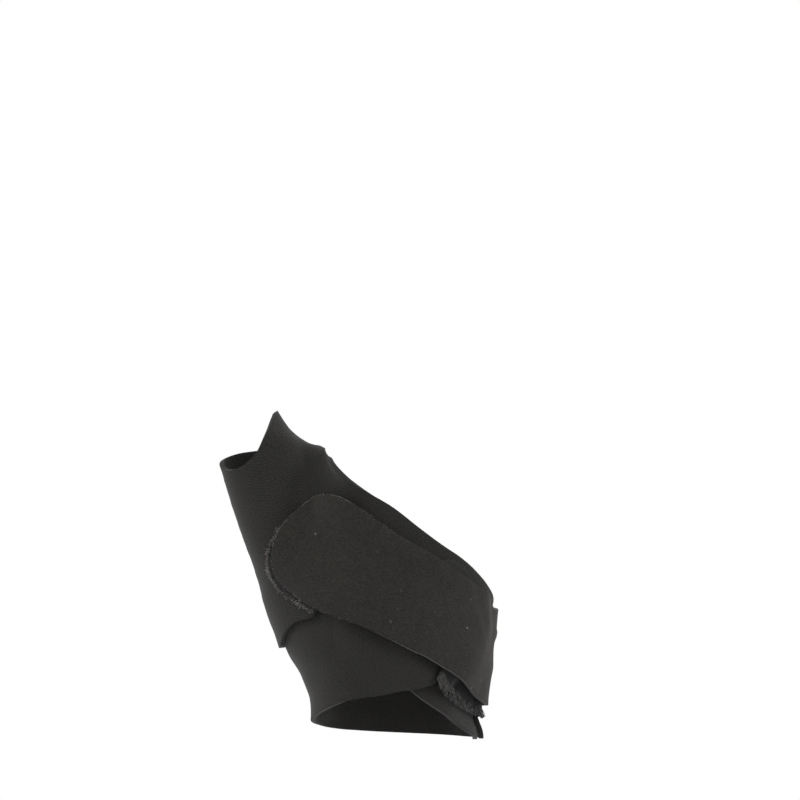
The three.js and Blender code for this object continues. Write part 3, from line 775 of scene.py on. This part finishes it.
def lay_cloth(name, node, feet, flat, lift, thickness, faces, edge, round_by=0.3):
    """Lays a grid of cloth over the worn form, thickens it outwards and rounds its cut edges."""
    long, wide = feet.shape[0] - 1, feet.shape[1] - 1
    bpy.ops.mesh.primitive_grid_add(x_subdivisions=long, y_subdivisions=wide, size=1)
    piece = bpy.context.object
    mesh = piece.data
    under = feet + outward_at(feet) * (lift + slack(feet))[..., None]
    places = under.transpose(1, 0, 2).reshape(-1, 3) * MM
    mesh.vertices.foreach_set("co", places.ravel())
    cut = flat.transpose(1, 0, 2).reshape(-1, 2) * MM
    corners = np.zeros(len(mesh.loops), int)
    mesh.loops.foreach_get("vertex_index", corners)
    mesh.uv_layers[0].name = "flat_cut"
    mesh.uv_layers[0].uv.foreach_set("vector", cut[corners].ravel())
    mesh.materials.append(faces)
    mesh.materials.append(edge)
    mesh.update()
    bpy.ops.object.mode_set(mode="EDIT")
    bpy.ops.mesh.select_all(action="SELECT")
    bpy.ops.mesh.remove_doubles(threshold=0.00001)
    bpy.ops.object.mode_set(mode="OBJECT")
    wall = piece.modifiers.new("wall", "SOLIDIFY")
    wall.thickness = thickness * MM
    wall.offset = 1
    wall.use_quality_normals = True
    wall.material_offset_rim = 1
    bpy.ops.object.modifier_apply(modifier="wall")
    rounding = piece.modifiers.new("rounding", "BEVEL")
    rounding.width = round_by * MM
    rounding.segments = 2
    rounding.limit_method = "ANGLE"
    rounding.angle_limit = math.radians(50)
    bpy.ops.object.modifier_apply(modifier="rounding")
    bpy.ops.object.shade_smooth_by_angle(angle=math.radians(42))
    finish_sheet(piece, name, node)
    return piece


def sleeve_flat(feet):
    """Flat places of the sleeve's cloth: round it at its middle, and down from its top edge."""
    down = np.linalg.norm(np.diff(feet, axis=1), axis=-1)
    down = np.concatenate([np.zeros((len(feet), 1)), np.cumsum(down, axis=1)], axis=1)
    middle = feet[:, feet.shape[1] // 2]
    round_it = np.broadcast_to(marks_of(middle)[:, None], down.shape)
    return np.stack([round_it, down], axis=-1)


sleeve_piece = lay_cloth(
    "sleeve_cloth", "thumb_sleeve", sleeve_feet, sleeve_flat(sleeve_feet),
    CLOTH_STEP * cover_by(wrist_outline, sleeve_feet, STRAP_MARGIN, GENTLE_SLOPE) * palm_share(sleeve_feet)
    + web_shape(sleeve_feet),
    CLOTH, sleeve_knit, dark_edge,
)
wrist_piece = lay_cloth(
    "wrist_strap_cloth", "wrist_strap", wrist_feet, wrist_flat,
    CLOTH_STEP * cover_by(sleeve_outline, wrist_feet) * (1 - palm_share(wrist_feet))
    + TAPE_STEP * cover_by(wrist_tab_outline, wrist_feet) + wrist_pinch(wrist_feet),
    CLOTH, rib_knit, dark_edge,
)
wrist_tab_piece = lay_cloth(
    "wrist_strap_hooks", "wrist_strap_tab", wrist_tab_feet, wrist_tab_flat,
    CLOTH_STEP * cover_by(sleeve_outline, wrist_tab_feet), TAPE, hook_tape, hook_tape, 0.2,
)
closing_tab_piece = lay_cloth(
    "closing_strap_hooks", "closing_strap_tab", closing_tab_feet, closing_tab_flat,
    layers_below_closing(closing_tab_feet), TAPE, hook_tape, hook_tape, 0.2,
)
pile_piece = lay_cloth(
    "pile_ground", "pile_strip", pile_feet, pile_flat,
    layers_below_closing(pile_feet), TAPE, pile_tape, pile_tape, 0.2,
)
closing_lift = layers_below_closing(closing_feet) + TAPE_STEP * np.maximum(
    cover_by(closing_tab_outline, closing_feet), cover_by(pile_outline, closing_feet)
)
closing_lift = pull_taut(closing_lift, closing_flat[:, 0, 0]) + closing_shape(closing_flat)
closing_piece = lay_cloth(
    "closing_strap_cloth", "closing_strap", closing_feet, closing_flat,
    closing_lift, CLOTH, brushed_cloth, cut_edge_and_highlight,
)


def outer_face(feet, lift, thickness):
    """The outer side of a cloth, for what is set on it."""
    return feet + outward_at(feet) * (lift + slack(feet) + thickness)[..., None]


def read_grid(grid, along, across):
    """Places on a grid at shares of its length and of its width."""
    along, across = along * (grid.shape[0] - 1), across * (grid.shape[1] - 1)
    row = np.minimum(along.astype(int), grid.shape[0] - 2)
    column = np.minimum(across.astype(int), grid.shape[1] - 2)
    along, across = (along - row)[:, None], (across - column)[:, None]
    near = grid[row, column] * (1 - across) + grid[row, column + 1] * across
    far = grid[row + 1, column] * (1 - across) + grid[row + 1, column + 1] * across
    return near * (1 - along) + far * along


def fibres(name, slot, roots, ways, lengths, thickness, finish):
    """Many short tapered fibres in one piece, each a copy of one drawn-out cone."""
    bpy.ops.mesh.primitive_cone_add(vertices=3, radius1=thickness, radius2=thickness * 0.35, depth=1)
    piece = bpy.context.object
    mesh = piece.data
    model = np.array([corner.co for corner in mesh.vertices]) + (0, 0, 0.5)
    faces = [np.array(face.vertices) for face in mesh.polygons]
    aside = unit(np.cross(ways, (0.31, 0.52, 0.79)))
    across = np.cross(ways, aside)
    corners = (
        roots[:, None] + aside[:, None] * model[:, 0:1] + across[:, None] * model[:, 1:2]
        + ways[:, None] * lengths[:, None, None] * model[:, 2:3]
    )
    mesh.clear_geometry()
    copies = [(face + index * len(model)).tolist() for index in range(len(roots)) for face in faces]
    mesh.from_pydata((corners.reshape(-1, 3) * MM).tolist(), [], copies)
    mesh.materials.append(finish)
    piece.name = name
    mesh.name = name
    bpy.ops.object.shade_smooth()
    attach(piece, "root")
    piece.select_set(False)
    return piece


# Pile: short tufts that hang down over the strip, only where it comes out from under the closing strap.
pile_face = outer_face(pile_feet, layers_below_closing(pile_feet), TAPE)
closing_low = smooth_curve(CLOSING_CUT[:, (0, 2)], CUT_CELLS)
along, across = chance.random(TUFTS), chance.random(TUFTS)
tuft_place = read_grid(pile_flat, along, across)
strap_edge = np.interp(tuft_place[:, 0], closing_low[:, 0], closing_low[:, 1])
ragged = 0.5 + 0.5 * np.sin(tuft_place[:, 0] * 2.1) * np.sin(tuft_place[:, 0] * 0.83 + 1)
shows = tuft_place[:, 1] > strap_edge + 0.6 + 1.1 * ragged
along, across = along[shows], across[shows]
tuft_root = read_grid(pile_face, along, across)
tuft_out = outward_at(tuft_root)
down = unit(np.array([0, 0, -1]) - tuft_out * dot(tuft_out, np.array([0, 0, -1])))
tuft_way = unit(down + tuft_out * 0.42 + chance.normal(0, 0.16, tuft_root.shape))
room = PILE_CUT[0, 2] + 0.4 - tuft_place[shows, 1]
tuft_length = np.clip(chance.uniform(1.2, 2.4, len(tuft_root)), 0.5, np.maximum(room, 0.6))
pile_tufts = fibres(
    "pile_tufts", "pile_tape", tuft_root - tuft_out * 0.1, tuft_way, tuft_length, 0.13, pile_tuft,
)


def frayed(name, slot, face, low_from, high_from, count, reach, thickness, finish):
    """Loose threads round the end of a strap or tape, from given rows on its two sides."""
    rim = np.vstack([face[low_from:, 0], face[-1, 1:], face[high_from:-1, -1][::-1]])
    inner = np.vstack([face[low_from:, 2], face[-3, 1:], face[high_from:-1, -3][::-1]])
    marks = marks_of(rim)
    where = chance.random(count) * marks[-1]
    edge, within = (
        np.stack([np.interp(where, marks, line[:, axis]) for axis in range(3)], axis=-1)
        for line in (rim, inner)
    )
    root = edge + (within - edge) * chance.random((count, 1)) ** 2 * 0.4
    outward = outward_at(root)
    aside = unit(edge - within)
    way = unit(aside * 0.7 + outward * 0.4 + chance.normal(0, 0.5, root.shape))
    clump = np.abs(np.sin(where * 1.3) * np.sin(where * 0.47 + 1))
    length = chance.uniform(0.4, 1, count) * (0.55 + 0.8 * clump) * reach
    return fibres(name, slot, root - outward * 0.15, way, length, thickness, finish)


tab_face = outer_face(closing_tab_feet, layers_below_closing(closing_tab_feet), TAPE)
tab_frays = frayed(
    "hook_tape_frays", "hook_tape", tab_face, low_from=-8, high_from=0,
    count=FRAYS, reach=1.4, thickness=0.08, finish=fray,
)
closing_face = outer_face(closing_feet, closing_lift, CLOTH)
# Loose threads round the closing strap's tip: real frays, made bright so that they also act as a painted
# highlight for the light line its edge catches.
closing_frays_and_highlight = frayed(
    "closing_strap_frays_and_highlight", "brushed_cloth", closing_face, low_from=68, high_from=68,
    count=FRAYS, reach=0.45, thickness=0.06, finish=fray,
)

# Two rows of stitches where the closing strap is sewn to the sleeve's palm panel.
stitch_row, stitch_step = np.meshgrid((0.012, 0.034), np.linspace(0.04, 0.92, STITCHES), indexing="ij")
stitch_root = read_grid(closing_face, stitch_row.ravel(), stitch_step.ravel())
stitch_way = unit(read_grid(closing_face, stitch_row.ravel(), stitch_step.ravel() + 0.05) - stitch_root)
stitch_root += outward_at(stitch_root) * 0.1
closing_stitches = fibres(
    "closing_strap_stitches", "brushed_cloth", stitch_root, stitch_way,
    np.full(2 * STITCHES, STITCH_LENGTH), 0.14, fray,
)


def area_of(flat):
    """Area of a flat cut, in square metres."""
    first, second = flat[1:, 1:] - flat[:-1, :-1], flat[1:, :-1] - flat[:-1, 1:]
    twice = np.abs(first[..., 0] * second[..., 1] - first[..., 1] * second[..., 0])
    return float(twice.sum() / 2 * MM ** 2)


area_of(wrist_flat)
area_of(closing_flat)
area_of(pile_flat)
area_of(wrist_tab_flat)
area_of(closing_tab_flat)

# Floor, light and background.
bpy.ops.mesh.primitive_plane_add(size=8, location=(0, 0, -0.25))
floor = bpy.context.object
floor.name = "floor"
pale = Finish("pale_floor", Roughness=0.9, Specular_IOR_Level=0.1)
pale.shader.inputs["Base Color"].default_value = (0.72, 0.72, 0.72, 1)
floor.data.materials.append(pale.material)
floor.select_set(False)

world = bpy.data.worlds.new("studio")
bpy.context.scene.world = world
world.use_nodes = True
world.node_tree.nodes["Background"].inputs["Color"].default_value = (1, 1, 1, 1)
world.node_tree.nodes["Background"].inputs["Strength"].default_value = 1.0
bpy.context.scene.view_settings.view_transform = "Standard"


def softbox(name, place, size, power, aim=(0, 0, 0.035)):
    """A round soft light turned towards the object."""
    light = bpy.data.lights.new(name, "AREA")
    light.shape = "DISK"
    light.size = size
    light.energy = power
    box = bpy.data.objects.new(name, light)
    bpy.context.collection.objects.link(box)
    box.location = place
    box.rotation_mode = "QUATERNION"
    box.rotation_quaternion = (Vector(aim) - Vector(place)).to_track_quat("-Z", "Y")


softbox("key", (-0.9, -1.4, 1.5), 0.8, 13)
softbox("fill", (1.6, -0.5, 0.5), 0.8, 13)
softbox("side", (-1.6, -0.3, 0.4), 0.8, 11)
